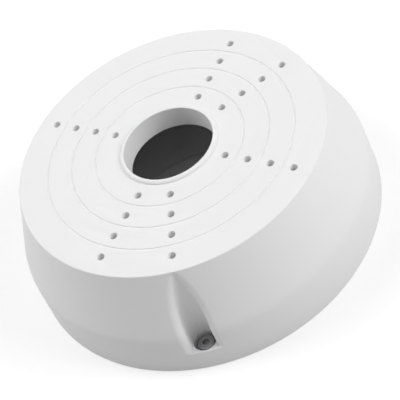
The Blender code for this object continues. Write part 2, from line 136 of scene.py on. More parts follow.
class CastingSizes(PropertyGroup):
    """Outer form and walls of the casting."""

    height: length("Height", "From the wall to the device face", 0.0470)
    base_radius: length("Base radius", "Radius of the rim on the wall", 0.0748)
    band_taper: length("Band taper", "How far the band narrows up to the crease", 0.0009)
    cone_taper: length("Cone taper", "How far the cone narrows up to the device face", 0.0102)
    crease_height: length("Crease height", "Height at which the cone starts", 0.0190)
    crease_blend: length("Crease blend", "Half the height over which band and cone blend", 0.0020)
    top_edge_round: length("Face edge rounding", "Rounding at the edge of the device face", 0.0005)
    base_edge_round: length("Rim edge rounding", "Rounding at the rim on the wall", 0.0003)
    top_thickness: length("Face thickness", "Thickness of the device face", 0.0030)
    wall: length("Wall", "Thickness of the cone's wall", 0.0031)
    rim_wall: length("Rim wall", "Thickness of the rim round the plate", 0.0022)
    boss_start: length("Boss start", "How far below the ceiling the screw bosses stand out fully", 0.0075)
    inner_round: length("Ceiling rounding", "Rounding between the ceiling and the wall inside", 0.0012)

    @property
    def crease_radius(self):
        return self.base_radius - self.band_taper

    @property
    def top_radius(self):
        return self.crease_radius - self.cone_taper

    @property
    def ceiling(self):
        return self.height - self.top_thickness

    @property
    def buried(self):
        """Height in the middle of the face's thickness, where what joins it from behind ends."""
        return self.ceiling + self.top_thickness / 2


class BoreSizes(PropertyGroup):
    """Cable bore, its raised lip and its collar."""

    radius: length("Bore radius", "Radius of the cable bore", 0.0185)
    chamfer: length("Bore chamfer", "Rounding at the bore's mouth", 0.0004)
    lip_height: length("Lip height", "How far the lip stands out of the face", 0.0012)
    lip_width: length("Lip width", "Width of the lip", 0.0019)
    lip_flat: length("Lip flat", "Width of the lip's flat crest", 0.0005)
    collar_depth: length("Collar depth", "How far the collar reaches behind the face", 0.0089)
    collar_wall: length("Collar wall", "Thickness of the collar", 0.0025)


class FaceSizes(PropertyGroup):
    """Grooves and device holes of the face."""

    groove_margin: length("Groove margin", "From the face's edge to the first groove", 0.0124)
    groove_pitch: length("Groove pitch", "Between two grooves", 0.0102)
    groove_width: length("Groove width", "Width of a groove", 0.0010)
    groove_depth: length("Groove depth", "Depth of a groove", 0.0004)
    hole_margin: length("Hole margin", "From the face's edge to the first ring of holes", 0.0077)
    hole_pitch: length("Hole pitch", "Between two rings of holes", 0.0100)
    hole_radius: length("Hole radius", "Radius of a device hole", 0.0015)
    hole_depth: length("Hole depth", "Depth of a device hole", 0.0070)
    mouth_round: length("Hole rounding", "Rounding at a hole's mouth", 0.0003)
    boss_radius: length("Boss radius", "Radius of the boss behind a hole", 0.0034)
    boss_floor: length("Boss floor", "Metal left behind a hole", 0.0012)
    rib_thickness: length("Rib thickness", "Thickness of the ribs behind the face", 0.0022)
    rib_depth: length("Rib depth", "Depth of the ribs behind the face", 0.0030)


class PocketSizes(PropertyGroup):
    """Screw pockets in the casting's side."""

    inset: length("Inset", "From the rim to the screw's axis", 0.0057)
    ledge_height: length("Ledge height", "Height of the pocket's ledge", 0.0099)
    ledge_round: length("Ledge rounding", "Rounding at the ledge's edge", 0.0005)
    channel_radius: length("Channel radius", "Radius of the channel at the ledge", 0.0048)
    channel_radius_at_top: length("Channel radius at top", "Radius of the channel at the face", 0.0018)
    channel_run: length("Channel run", "Depth at which the channel has its full radius", 0.0260)
    flare_radius: length("Flare radius", "Rounding between channel and cone", 0.0029)
    flare_radius_at_top: length("Flare radius at top", "The same rounding at the face", 0.0040)
    flare_run: length("Flare run", "Depth at which the flare has its lower radius", 0.0300)
    counterbore_clearance: length("Counterbore clearance", "Step between channel and counterbore", 0.0001)
    counterbore_depth: length("Counterbore depth", "Depth of the counterbore below the ledge", 0.0050)
    boss_wall: length("Boss wall", "Wall between a pocket and the hollow", 0.0024)
    boss_fillet: length("Boss fillet", "Fillet between a screw boss and the wall", 0.0020)


class PlateSizes(PropertyGroup):
    """Pressed steel plate that closes the back."""

    thickness: length("Thickness", "Thickness of the plate", 0.0025)
    dish_radius: length("Dish radius", "Radius at which the dish starts", 0.0345)
    dish_rise: length("Dish rise", "How far the dish stands forward", 0.0015)
    press_round: length("Press rounding", "Rounding of the dish's bends", 0.0022)
    edge_round: length("Edge rounding", "Rounding of the sheared edges", 0.0002)
    entry_radius: length("Entry radius", "Radius of the cable entry", 0.0150)
    slot_width: length("Slot width", "Width of the mounting slots", 0.0040)
    slot_spacing: length("Slot spacing", "Between the middles of the slots", 0.0861)
    slot_travel: length("Slot travel", "How far a screw can move in its slot", 0.0028)


class RubberSizes(PropertyGroup):
    """Foam ring and entry bush."""

    gasket_inner_radius: length("Gasket inner radius", "Inner radius of the foam ring", 0.0200)
    gasket_outer_radius: length("Gasket outer radius", "Outer radius of the foam ring", 0.0310)
    gasket_round: length("Gasket rounding", "Rounding of the foam's edges", 0.0003)
    grommet_wall: length("Bush wall", "Wall of the entry bush", 0.0024)
    grommet_flange: length("Bush flange", "Reach of the bush's flanges", 0.0028)
    grommet_front: length("Bush front", "Height of the bush in front of the plate", 0.0014)
    grommet_edge: length("Bush edge", "Height of the front flange's rim", 0.0006)
    grommet_lead: length("Bush lead-in", "Width of the bush's tapered mouth", 0.0014)
    grommet_round: length("Bush rounding", "Rounding of the bush's edges", 0.00025)


class ScrewSizes(PropertyGroup):
    """Captive screws, their washers, and the clearances round them."""

    radius: length("Thread radius", "Outer radius of the thread", 0.0020)
    pitch: length("Thread pitch", "Rise of the thread in one turn", 0.0007)
    thread_depth: length("Thread depth", "Depth of the thread", 0.0004)
    head_radius: length("Head radius", "Radius of the button head", 0.0035)
    head_height: length("Head height", "Height of the button head", 0.0024)
    head_round: length("Head rounding", "Rounding of the head's upper edge", 0.0005)
    hex_radius: length("Socket radius", "Radius of the hexagon socket, over its corners", 0.0015)
    hex_depth: length("Socket depth", "Depth of the hexagon socket", 0.0015)
    end_height: length("End height", "Height of the screw's end above the wall", 0.0006)
    seal_thickness: length("Washer thickness", "Thickness of a sealing washer", 0.0008)
    seal_edge: length("Washer radius", "Outer radius of a sealing washer", 0.0034)
    seal_round: length("Washer rounding", "Rounding of a washer's edges", 0.0002)
    seat_gap: length("Seat gap", "Gap between pieces that seat on each other", 0.0003)
    edge_clearance: length("Edge clearance", "Gap round the plate and the bush's neck", 0.0003)
    shank_clearance: length("Shank clearance", "Gap round a screw's shank", 0.0003)


class FinishColours(PropertyGroup):
    """Colours of the finishes."""

    paint: colour("White coat", "Powder coat of the casting", (0.83, 0.83, 0.83))
    plate: colour("Plate", "Coat of the steel plate", (0.83, 0.83, 0.83))
    rubber: colour("Rubber", "Rubber of the bush and the washers", (0.03, 0.03, 0.03))
    foam: colour("Foam", "Foam ring behind the plate", (0.036, 0.036, 0.038))
    steel: colour("Screw steel", "Zinc-plated steel of the screws", (0.35, 0.35, 0.36))
    floor: colour("Floor", "Plain floor that the box stands on", (0.62, 0.62, 0.62))


class JunctionBoxSettings(PropertyGroup):
    """All sizes and colours of the junction box."""

    casting: PointerProperty(type=CastingSizes)
    bore: PointerProperty(type=BoreSizes)
    face: PointerProperty(type=FaceSizes)
    pocket: PointerProperty(type=PocketSizes)
    plate: PointerProperty(type=PlateSizes)
    rubber: PointerProperty(type=RubberSizes)
    screw: PointerProperty(type=ScrewSizes)
    colours: PointerProperty(type=FinishColours)

    @property
    def pocket_centre(self):
        return self.casting.base_radius - self.pocket.inset

    @property
    def lip_top(self):
        return self.casting.height + self.bore.lip_height

    @property
    def collar_end(self):
        return self.casting.height - self.bore.collar_depth

    @property
    def plate_back(self):
        return self.screw.seat_gap

    @property
    def plate_front(self):
        return self.plate_back + self.plate.thickness

    @property
    def step_height(self):
        return self.plate_front + self.screw.seat_gap

    @property
    def rebate_radius(self):
        return self.casting.base_radius - self.casting.rim_wall

    @property
    def dish_back(self):
        return self.plate_back + self.plate.dish_rise

    @property
    def dish_front(self):
        return self.plate_front + self.plate.dish_rise

    @property
    def counterbore_floor(self):
        return self.pocket.ledge_height - self.pocket.counterbore_depth

    @property
    def seal_bottom(self):
        return self.counterbore_floor + self.screw.seat_gap

    @property
    def head_bottom(self):
        return self.seal_bottom + self.screw.seal_thickness + self.screw.seat_gap

    @property
    def shank_hole_radius(self):
        return self.screw.radius + self.screw.shank_clearance


# Objects and their modifiers


def add_object(name, mesh):
    """An object in the scene that holds a mesh."""
    made = bpy.data.objects.new(name, mesh)
    bpy.context.scene.collection.objects.link(made)
    return made


def mesh_from_work(name, work):
    """A mesh from the faces that were worked on."""
    mesh = bpy.data.meshes.new(name)
    work.to_mesh(mesh)
    work.free()
    return mesh


def remove_object(item):
    """Deletes an object and its mesh."""
    mesh = item.data
    bpy.data.objects.remove(item, do_unlink=True)
    bpy.data.meshes.remove(mesh)


def cut_or_join(target, helper, operation):
    """Cuts a shape out of a piece (DIFFERENCE) or joins it on (UNION)."""
    modifier = target.modifiers.new(helper.name, "BOOLEAN")
    modifier.solver = "MANIFOLD"
    modifier.operation = operation
    modifier.object = helper


def settle(item, *helpers):
    """Turns an object's live result into its plain mesh, and deletes the shapes that made it."""
    graph = bpy.context.evaluated_depsgraph_get()
    graph.update()
    made = bpy.data.meshes.new_from_object(item.evaluated_get(graph))
    item.modifiers.clear()
    old = item.data
    item.data = made
    bpy.data.meshes.remove(old)
    for helper in helpers:
        remove_object(helper)
    return item


def finish_piece(item, finish, slot, *nodes):
    """Shades a piece, gives it its finish, and lets it stand for its CAD nodes."""
    item.data.materials.clear()
    item.data.materials.append(finish)
    item.data.shade_smooth()
    item.data.set_sharp_from_angle(angle=SHARP_ANGLE)
    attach(item, "root")
    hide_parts(*nodes)


# Outlines and solids


def spread(total, steps):
    """Evenly spaced values from zero to a total, both ends included."""
    return [total * step / steps for step in range(steps + 1)]


def arc_at_corner(before, corner, after, rounding):
    """Points of the fillet of one corner of a profile."""
    back = (before - corner).normalized()
    ahead = (after - corner).normalized()
    half = back.angle(ahead) / 2
    reach = rounding / math.tan(half)
    centre = corner + (back + ahead).normalized() * rounding / math.sin(half)
    start = corner + back * reach - centre
    end = corner + ahead * reach - centre
    sweep = start.angle_signed(end)
    return [centre + Matrix.Rotation(turn, 2) @ start for turn in spread(-sweep, FILLET_STEPS)]


def rounded(corners):
    """A closed profile of (radius, height, rounding), as points with every corner filleted."""
    points = []
    for index, (radius, height, rounding) in enumerate(corners):
        corner = Vector((radius, height))
        if rounding:
            before = Vector(corners[index - 1][:2])
            after = Vector(corners[(index + 1) % len(corners)][:2])
            points += arc_at_corner(before, corner, after, rounding)
        else:
            points.append(corner)
    return points


def turned(name, profile, steps):
    """A solid turned round Z from points of (radius, height), listed down its outer side first.

    A profile that starts on the axis ends on it too, and any other is closed into a ring.
    """
    mesh = bpy.data.meshes.new(name)
    edges = [(index, index + 1) for index in range(len(profile) - 1)]
    if profile[0][0] > 0.0:
        edges.append((len(profile) - 1, 0))
    mesh.from_pydata([(radius, 0.0, height) for radius, height in profile], edges, [])
    made = add_object(name, mesh)
    screw = made.modifiers.new("turn", "SCREW")
    screw.axis = "Z"
    screw.steps = steps
    screw.render_steps = steps
    screw.use_merge_vertices = True
    screw.merge_threshold = MERGE
    settle(made)
    work = bmesh.new()
    work.from_mesh(made.data)
    bmesh.ops.remove_doubles(work, verts=work.verts, dist=MERGE)
    bmesh.ops.recalc_face_normals(work, faces=work.faces)
    work.to_mesh(made.data)
    work.free()
    return made


def cylinder(name, radius, low, high, steps):
    """A closed upright cylinder on the axis."""
    work = bmesh.new()
    place = Matrix.Translation((0.0, 0.0, (low + high) / 2))
    sizes = {"segments": steps, "radius1": radius, "radius2": radius, "depth": high - low}
    bmesh.ops.create_cone(work, cap_ends=True, matrix=place, **sizes)
    return add_object(name, mesh_from_work(name, work))


def box(name, low, high):
    """A box between two corners."""
    work = bmesh.new()
    bmesh.ops.create_cube(work, size=1.0)
    size = Vector(high) - Vector(low)
    for corner in work.verts:
        corner.co = Vector(low) + size * 0.5 + Vector(a * b for a, b in zip(corner.co, size))
    return add_object(name, mesh_from_work(name, work))


# Geometry node trees


def run_tree(item, tree, values):
    """Runs a geometry tree on an object with a value for each input label, and keeps the plain result.

    A modifier's input is set by its socket's identifier.
    """
    modifier = item.modifiers.new(tree.name, "NODES")
    modifier.node_group = tree
    sockets = [entry for entry in tree.interface.items_tree if entry.in_out == "INPUT"]
    identifiers = {socket.name: socket.identifier for socket in sockets}
    for label, value in values.items():
        modifier[identifiers[label]] = value
    return settle(item)


def add_node(tree, kind, inputs=None, **settings):
    """A node with its settings, whose inputs are linked where they are given a socket."""
    node = tree.nodes.new(kind)
    for name, value in settings.items():
        setattr(node, name, value)
    for name, value in (inputs or {}).items():
        if isinstance(value, bpy.types.NodeSocket):
            tree.links.new(value, node.inputs[name])
        else:
            node.inputs[name].default_value = value
    return node


def maths(tree, operation, *values):
    """The result of one math node, worked on sockets or plain numbers."""
    return add_node(tree, "ShaderNodeMath", dict(enumerate(values)), operation=operation).outputs[0]


def new_geometry_tree(name, floats, whole_numbers):
    """An empty tree with a geometry and a finish, and inputs for its sizes and its counts."""
    tree = bpy.data.node_groups.new(name, "GeometryNodeTree")
    labels = {"Geometry": "Geometry", "Finish": "Material"}
    labels.update(dict.fromkeys(floats, "Float"))
    labels.update(dict.fromkeys(whole_numbers, "Int"))
    for label, kind in labels.items():
        tree.interface.new_socket(label, in_out="INPUT", socket_type=f"NodeSocket{kind}")
    tree.interface.new_socket("Geometry", in_out="OUTPUT", socket_type="NodeSocketGeometry")
    return tree, add_node(tree, "NodeGroupInput").outputs


def close_tree(tree, source, made):
    """Ends a tree: what it made is turned real and gets its finish."""
    real = add_node(tree, "GeometryNodeRealizeInstances", {"Geometry": made}).outputs[0]
    coated = {"Geometry": real, "Material": source["Finish"]}
    finished = add_node(tree, "GeometryNodeSetMaterial", coated).outputs[0]
    tree.links.new(finished, add_node(tree, "NodeGroupOutput").inputs[0])
    return tree


def build_ray_tree():
    """Repeats a piece on rays round the axis, on rings that are evenly spaced inwards.

    Each copy keeps the place that its points had on the single piece in the attribute own_place.
    """
    sizes = ("First Ray", "Ray Step", "First Radius", "Ring Pitch")
    tree, source = new_geometry_tree("copies_on_rays", sizes, ("Rays", "Rings"))
    index = add_node(tree, "GeometryNodeInputIndex").outputs[0]
    ray = maths(tree, "FLOOR", maths(tree, "DIVIDE", index, source["Rings"]))
    ring = maths(tree, "SUBTRACT", index, maths(tree, "MULTIPLY", ray, source["Rings"]))
    angle = maths(tree, "MULTIPLY_ADD", ray, source["Ray Step"], source["First Ray"])
    inwards = maths(tree, "MULTIPLY", ring, source["Ring Pitch"])
    radius = maths(tree, "SUBTRACT", source["First Radius"], inwards)
    across = maths(tree, "MULTIPLY", radius, maths(tree, "COSINE", angle))
    along = maths(tree, "MULTIPLY", radius, maths(tree, "SINE", angle))
    place = add_node(tree, "ShaderNodeCombineXYZ", {"X": across, "Y": along}).outputs[0]
    turn = add_node(tree, "ShaderNodeCombineXYZ", {"Z": angle}).outputs[0]
    count = maths(tree, "MULTIPLY", source["Rays"], source["Rings"])
    points = add_node(tree, "GeometryNodePoints", {"Count": count, "Position": place}).outputs[0]
    spot = add_node(tree, "GeometryNodeInputPosition").outputs[0]
    kept = {"Geometry": source["Geometry"], "Name": "own_place", "Value": spot}
    store = add_node(tree, "GeometryNodeStoreNamedAttribute", kept, data_type="FLOAT_VECTOR")
    placed = {"Points": points, "Instance": store.outputs[0], "Rotation": turn}
    return close_tree(tree, source, add_node(tree, "GeometryNodeInstanceOnPoints", placed).outputs[0])


def repeat_on_rays(item, rays, radius, finish=None, rings=1, pitch=0.0):
    """Repeats an object's mesh on (first ray, step, count) rays and makes the copies one plain mesh."""
    first, step, count = rays
    values = {
        "Rays": count,
        "First Ray": math.radians(first),
        "Ray Step": math.radians(step),
        "Rings": rings,
        "First Radius": radius,
        "Ring Pitch": pitch,
        "Finish": finish,
    }
    return run_tree(item, bpy.data.node_groups.get("copies_on_rays") or build_ray_tree(), values)


def build_thread_tree():
    """A closed shank with a screw thread, which fades out at its lower end.

    The flanks' slope sets how wide the thread's flat crest is.
    """
    sizes = ("Radius", "Thread Depth", "Pitch", "Length", "Start")
    tree, source = new_geometry_tree("threaded_shank", sizes, ("Sides", "Rows"))
    shape = {
        "Vertices": source["Sides"],
        "Side Segments": source["Rows"],
        "Radius": source["Radius"],
        "Depth": source["Length"],
    }
    blank = add_node(tree, "GeometryNodeMeshCylinder", shape).outputs["Mesh"]
    spot = add_node(tree, "GeometryNodeInputPosition").outputs[0]
    parts = add_node(tree, "ShaderNodeSeparateXYZ", {0: spot}).outputs
    above = maths(tree, "MULTIPLY_ADD", source["Length"], 0.5, parts["Z"])
    turns = maths(tree, "DIVIDE", maths(tree, "ARCTAN2", parts["Y"], parts["X"]), math.tau)
    risen = maths(tree, "DIVIDE", above, source["Pitch"])
    wave = maths(tree, "FRACT", maths(tree, "SUBTRACT", risen, turns))
    slope = maths(tree, "ABSOLUTE", maths(tree, "SUBTRACT", wave, 0.5))
    crest = maths(tree, "MINIMUM", maths(tree, "MULTIPLY", slope, THREAD_SLOPE), 1.0)
    lead = maths(tree, "MINIMUM", risen, 1.0)
    fullness = maths(tree, "MULTIPLY", crest, lead)
    shallow = maths(tree, "MULTIPLY", maths(tree, "SUBTRACT", 1.0, fullness), source["Thread Depth"])
    share = maths(tree, "SUBTRACT", 1.0, maths(tree, "DIVIDE", shallow, source["Radius"]))
    across = maths(tree, "MULTIPLY", parts["X"], share)
    along = maths(tree, "MULTIPLY", parts["Y"], share)
    height = maths(tree, "ADD", above, source["Start"])
    place = add_node(tree, "ShaderNodeCombineXYZ", {"X": across, "Y": along, "Z": height}).outputs[0]
    threaded = {"Geometry": blank, "Position": place}
    return close_tree(tree, source, add_node(tree, "GeometryNodeSetPosition", threaded).outputs[0])


def threaded_shank(name, sizes, low, high):
    """The threaded shank of one screw, on the axis."""
    values = {
        "Radius": sizes.radius,
        "Thread Depth": sizes.thread_depth,
        "Pitch": sizes.pitch,
        "Length": high - low,
        "Start": low,
        "Sides": THREAD_SIDES,
        "Rows": round((high - low) / sizes.pitch * THREAD_ROWS_PER_TURN),
    }
    return run_tree(add_object(name, bpy.data.meshes.new(name)), build_thread_tree(), values)


# Sections of the casting


def outer_radius(casting, height):
    """The casting's outer radius: a cone above the crease, a band below, and a soft blend between them."""
    upper = (casting.top_radius - casting.crease_radius) / (casting.height - casting.crease_height)
    lower = (casting.crease_radius - casting.base_radius) / casting.crease_height
    start = casting.crease_height - casting.crease_blend
    if height <= start:
        return casting.base_radius + lower * height
    if height >= casting.crease_height + casting.crease_blend:
        return casting.top_radius + upper * (height - casting.height)
    run = height - start
    return casting.base_radius + lower * height + (upper - lower) * run * run / (4 * casting.crease_blend)


def channel_radius(box_sizes, height):
    """The pocket's channel is slim at the device face and reaches its full width on the way down."""
    pocket = box_sizes.pocket
    share = min((box_sizes.casting.height - height) / pocket.channel_run, 1.0)
    growth = pocket.channel_radius - pocket.channel_radius_at_top
    return pocket.channel_radius_at_top + growth * math.sin(share * QUARTER)


def channel_centre(box_sizes, height):
    """The channel's innermost line leans from the device face's edge to the back of the counterbore."""
    casting = box_sizes.casting
    pocket = box_sizes.pocket
    share = (casting.height - height) / (casting.height - pocket.ledge_height)
    foot = box_sizes.pocket_centre - pocket.channel_radius
    innermost = casting.top_radius + (foot - casting.top_radius) * share
    return innermost + channel_radius(box_sizes, height)


def flare_radius(box_sizes, height):
    """The rounding between channel and cone, which is largest at the device face."""
    pocket = box_sizes.pocket
    share = min((box_sizes.casting.height - height) / pocket.flare_run, 1.0)
    return pocket.flare_radius_at_top + (pocket.flare_radius - pocket.flare_radius_at_top) * share


def flare_centre(radius, middle, channel, flare):
    """Centre (across, out) of the flare between the round wall and the channel, or None where they part."""
    reach = radius - flare
    apart = channel + flare
    out = (reach**2 - apart**2 + middle**2) / (2 * middle)
    if out >= middle:
        return apart, math.sqrt(reach**2 - apart**2)
    if out >= reach:
        return None
    return math.sqrt(reach**2 - out**2), out


def channel_points(middle, channel, centre):
    """Half the channel from its innermost point: an arc, then a straight wall where the pocket is deep."""
    across, out = centre
    if out >= middle:
        sweep = QUARTER
        straight = out - middle
    else:
        sweep = math.atan2(across, middle - out)
        straight = 0.0
    arc = sweep * channel
    points = []
    for way in spread(arc + straight, CHANNEL_STEPS):
        turn = min(way, arc) / channel
        rise = max(way - arc, 0.0)
        points.append((channel * math.sin(turn), middle - channel * math.cos(turn) + rise))
    return points


def flare_points(middle, flare, centre):
    """The flare's arc, from the channel's wall out to the round wall."""
    across, out = centre
    start = -QUARTER if out >= middle else math.atan2(across, out - middle) - math.pi
    end = math.atan2(across, out)
    turns = [start + way for way in spread(end - start, FLARE_STEPS)[1:]]
    return [(across + flare * math.sin(turn), out + flare * math.cos(turn)) for turn in turns]


def arc_points(radius, turns):
    """Points of an arc round the axis, as (across, out)."""
    return [(radius * math.sin(turn), radius * math.cos(turn)) for turn in turns]


def round_points(radius, start):
    """The round wall from the pocket's mouth to halfway to the next pocket."""
    end = math.pi / len(POCKET_ANGLES)
    return arc_points(radius, [start + way for way in spread(end - start, ARC_STEPS)[1:]])


def plain_half(radius, width):
    """Half a section with no pocket, divided like the pocketed one that meets it."""
    mouth = math.asin(width / radius)
    turns = spread(mouth, CHANNEL_STEPS + FLARE_STEPS)
    return arc_points(radius, turns) + round_points(radius, mouth)


def pocket_half(radius, middle, channel, flare):
    """Half a section through one pocket, from the channel's innermost point round to the next pocket."""
    centre = flare_centre(radius, middle, channel, flare)
    width = centre[0] * radius / (radius - flare) if centre else 0.0
    if width <= NARROWEST_POCKET:
        return plain_half(radius, NARROWEST_POCKET)
    points = channel_points(middle, channel, centre) + flare_points(middle, flare, centre)
    return points + round_points(radius, math.asin(width / radius))


def whole_ring(half, height):
    """Repeats half a section, mirrored and turned to each pocket, into one closed ring."""
    third = [(-across, out) for across, out in reversed(half[1:])] + half[:-1]
    ring = []
    for degrees in sorted(POCKET_ANGLES):
        turn = Matrix.Rotation(math.radians(degrees - 90), 3, "Z")
        ring += [turn @ Vector((-across, out, height)) for across, out in third]
    return ring


def loft(name, rings):
    """Skins a stack of rings, listed from the top down, and caps both ends."""
    work = bmesh.new()
    rows = [[work.verts.new(point) for point in ring] for ring in rings]
    count = len(rows[0])
    for upper, lower in zip(rows, rows[1:]):
        for index in range(count):
            after = (index + 1) % count
            work.faces.new((upper[index], lower[index], lower[after], upper[after]))
    work.faces.new(rows[0])
    work.faces.new(reversed(rows[-1]))
    bmesh.ops.remove_doubles(work, verts=work.verts, dist=MERGE)
    bmesh.ops.recalc_face_normals(work, faces=work.faces)
    bmesh.ops.triangulate(work, faces=[face for face in work.faces if len(face.verts) == 4])
    return add_object(name, mesh_from_work(name, work))


# The casting


def top_edge_rings(casting):
    """The rounded edge between the device face and the cone."""
    slope = (casting.crease_radius - casting.top_radius) / (casting.height - casting.crease_height)
    rounding = casting.top_edge_round
    centre_radius = casting.top_radius + rounding * (slope - math.hypot(1.0, slope))
    sweep = QUARTER - math.atan(slope)
    rings = []
    for turn in spread(sweep, EDGE_STEPS):
        radius = centre_radius + rounding * math.sin(turn)
        height = casting.height - rounding + rounding * math.cos(turn)
        rings.append(whole_ring(plain_half(radius, NARROWEST_POCKET), height))
    return rings


def pocketed_heights(box_sizes):
    """Heights of the sections down the cone and the band, closer together where the pocket begins."""
    casting = box_sizes.casting
    run = casting.height - casting.crease_height - casting.crease_blend
    cone = [run * share**SECTION_CROWDING for share in spread(1.0, CONE_SECTIONS)[2:]]
    crease = [casting.crease_blend * (1 - 2 * share) for share in spread(1.0, CREASE_SECTIONS)[1:]]
    heights = [casting.height - drop for drop in cone]
    heights += [casting.crease_height + rise for rise in crease]
    return heights + [box_sizes.pocket.ledge_height]


def ledge_rings(box_sizes, pocketed):
    """The ledge at a pocket's foot, whose outer edge is rounded over into the band."""
    casting = box_sizes.casting
    pocket = box_sizes.pocket
    height = pocket.ledge_height
    radius = outer_radius(casting, height)
    width = (pocket.channel_radius + pocket.flare_radius) * radius / (radius - pocket.flare_radius)
    edge = whole_ring(plain_half(radius, width), height)
    rings = []
    for turn in spread(QUARTER, EDGE_STEPS):
        ring = []
        for outer, inner in zip(edge, pocketed):
            way = inner - outer
            reach = min(way.length / 2, pocket.ledge_round)
            inset = way.normalized() * reach * (1 - math.sin(turn)) if reach > MERGE else Vector()
            drop = Vector((0.0, 0.0, reach * (1 - math.cos(turn)) if reach > MERGE else 0.0))
            ring.append(outer + inset - drop)
        rings.append(ring)
    return rings, width


def skin_rings(box_sizes):
    """Sections of the casting's outside, from the device face down to the rim on the wall."""
    casting = box_sizes.casting
    rings = top_edge_rings(casting)
    for height in pocketed_heights(box_sizes):
        channel = channel_radius(box_sizes, height)
        middle = channel_centre(box_sizes, height)
        half = pocket_half(outer_radius(casting, height), middle, channel, flare_radius(box_sizes, height))
        rings.append(whole_ring(half, height))
    ledge, width = ledge_rings(box_sizes, rings[-1])
    rings += ledge
    rounding = casting.base_edge_round
    for turn in spread(QUARTER, EDGE_STEPS):
        height = rounding * (1 - math.sin(turn))
        radius = outer_radius(casting, rounding) - rounding * (1 - math.cos(turn))
        rings.append(whole_ring(plain_half(radius, width), height))
    return rings


def cavity_ring(box_sizes, height, inset=0.0):
    """A section of the hollow inside, which keeps clear of the pockets by the wall round their screws."""
    pocket = box_sizes.pocket
    radius = outer_radius(box_sizes.casting, height) - box_sizes.casting.wall - inset
    boss = pocket.channel_radius + pocket.boss_wall
    return whole_ring(pocket_half(radius, box_sizes.pocket_centre, boss, pocket.boss_fillet), height)


def cavity_rings(box_sizes):
    """Sections of the hollow, from under the device face down through the rebate that takes the plate."""
    casting = box_sizes.casting
    rounding = casting.inner_round
    rings = []
    for turn in spread(QUARTER, EDGE_STEPS)[:-1]:
        height = casting.ceiling - rounding * (1 - math.cos(turn))
        rings.append(cavity_ring(box_sizes, height, rounding * (1 - math.sin(turn))))
    heights = (
        casting.ceiling - rounding,
        casting.ceiling - casting.boss_start,
        casting.crease_height + casting.crease_blend,
        casting.crease_height - casting.crease_blend,
        box_sizes.step_height,
    )
    rings += [cavity_ring(box_sizes, height) for height in heights]
    rebate = plain_half(box_sizes.rebate_radius, box_sizes.screw.head_radius)
    rings.append(whole_ring(rebate, box_sizes.step_height))
    rings.append(whole_ring(rebate, -OVERRUN))
    return rings


def repeat_as_holes(item, box_sizes, rays):
    """Repeats a shape at each device hole of one pattern."""
    face = box_sizes.face
    radius = box_sizes.casting.top_radius - face.hole_margin
    return repeat_on_rays(item, rays, radius, rings=HOLE_RINGS, pitch=face.hole_pitch)


def device_bosses(box_sizes, rays, number):
    """The bosses behind one pattern of device holes."""
    casting = box_sizes.casting
    face = box_sizes.face
    low = casting.height - face.hole_depth - face.boss_floor
    boss = cylinder(f"bosses_{number}", face.boss_radius, low, casting.buried, BOSS_STEPS)
    return repeat_as_holes(boss, box_sizes, rays)


def device_ribs(box_sizes, rays, number):
    """The ribs that tie one pattern's bosses to the collar and the wall."""
    casting = box_sizes.casting
    face = box_sizes.face
    inner = box_sizes.bore.radius + box_sizes.bore.collar_wall / 2
    outer = outer_radius(casting, casting.ceiling) - casting.wall / 2
    low = (inner, -face.rib_thickness / 2, casting.ceiling - face.rib_depth)
    high = (outer, face.rib_thickness / 2, casting.buried)
    return repeat_on_rays(box(f"ribs_{number}", low, high), rays, 0.0)


def device_holes(box_sizes, rays, number):
    """The blind holes of one pattern, with a slightly rounded mouth."""
    casting = box_sizes.casting
    face = box_sizes.face
    rounding = face.mouth_round
    profile = [(0.0, casting.height + OVERRUN), (face.hole_radius + rounding, casting.height + OVERRUN)]
    for turn in spread(QUARTER, FILLET_STEPS):
        radius = face.hole_radius + rounding * (1 - math.sin(turn))
        profile.append((radius, casting.height - rounding * (1 - math.cos(turn))))
    floor = casting.height - face.hole_depth
    profile += [(face.hole_radius, floor), (0.0, floor)]
    return repeat_as_holes(turned(f"holes_{number}", profile, HOLE_STEPS), box_sizes, rays)


def collar(box_sizes):
    """The ring round the cable bore: a rounded lip in front and a plain collar behind."""
    casting = box_sizes.casting
    bore = box_sizes.bore
    inner = bore.radius - OVERRUN
    flat = bore.radius + bore.lip_flat
    lip_radius = bore.radius + bore.lip_width
    profile = []
    for turn in spread(QUARTER, LIP_STEPS):
        radius = flat + (lip_radius - flat) * math.sin(turn)
        profile.append((radius, casting.height + bore.lip_height * math.cos(turn)))
    outer = bore.radius + bore.collar_wall
    profile += [(lip_radius, casting.buried), (outer, casting.buried), (outer, box_sizes.collar_end)]
    profile += [(inner, box_sizes.collar_end), (inner, box_sizes.lip_top)]
    return turned("collar", profile, TURNED_STEPS)


def cable_bore(box_sizes):
    """The cable bore, with a rounded mouth."""
    bore = box_sizes.bore
    top = box_sizes.lip_top
    profile = [(0.0, top + OVERRUN), (bore.radius + bore.chamfer, top + OVERRUN)]
    for turn in spread(QUARTER, LIP_STEPS):
        radius = bore.radius + bore.chamfer * (1 - math.sin(turn))
        profile.append((radius, top - bore.chamfer * (1 - math.cos(turn))))
    end = box_sizes.collar_end - OVERRUN
    return turned("bore", profile + [(bore.radius, end), (0.0, end)], TURNED_STEPS)


def face_groove(box_sizes, number):
    """One turned groove, with a rounded floor."""
    face = box_sizes.face
    height = box_sizes.casting.height
    radius = box_sizes.casting.top_radius - face.groove_margin - face.groove_pitch * number
    half = face.groove_width / 2
    profile = [(radius + half, height + face.groove_depth)]
    for turn in spread(math.pi, LIP_STEPS):
        profile.append((radius + half * math.cos(turn), height - face.groove_depth * math.sin(turn)))
    profile.append((radius - half, height + face.groove_depth))
    return turned(f"groove_{number}", profile, TURNED_STEPS)


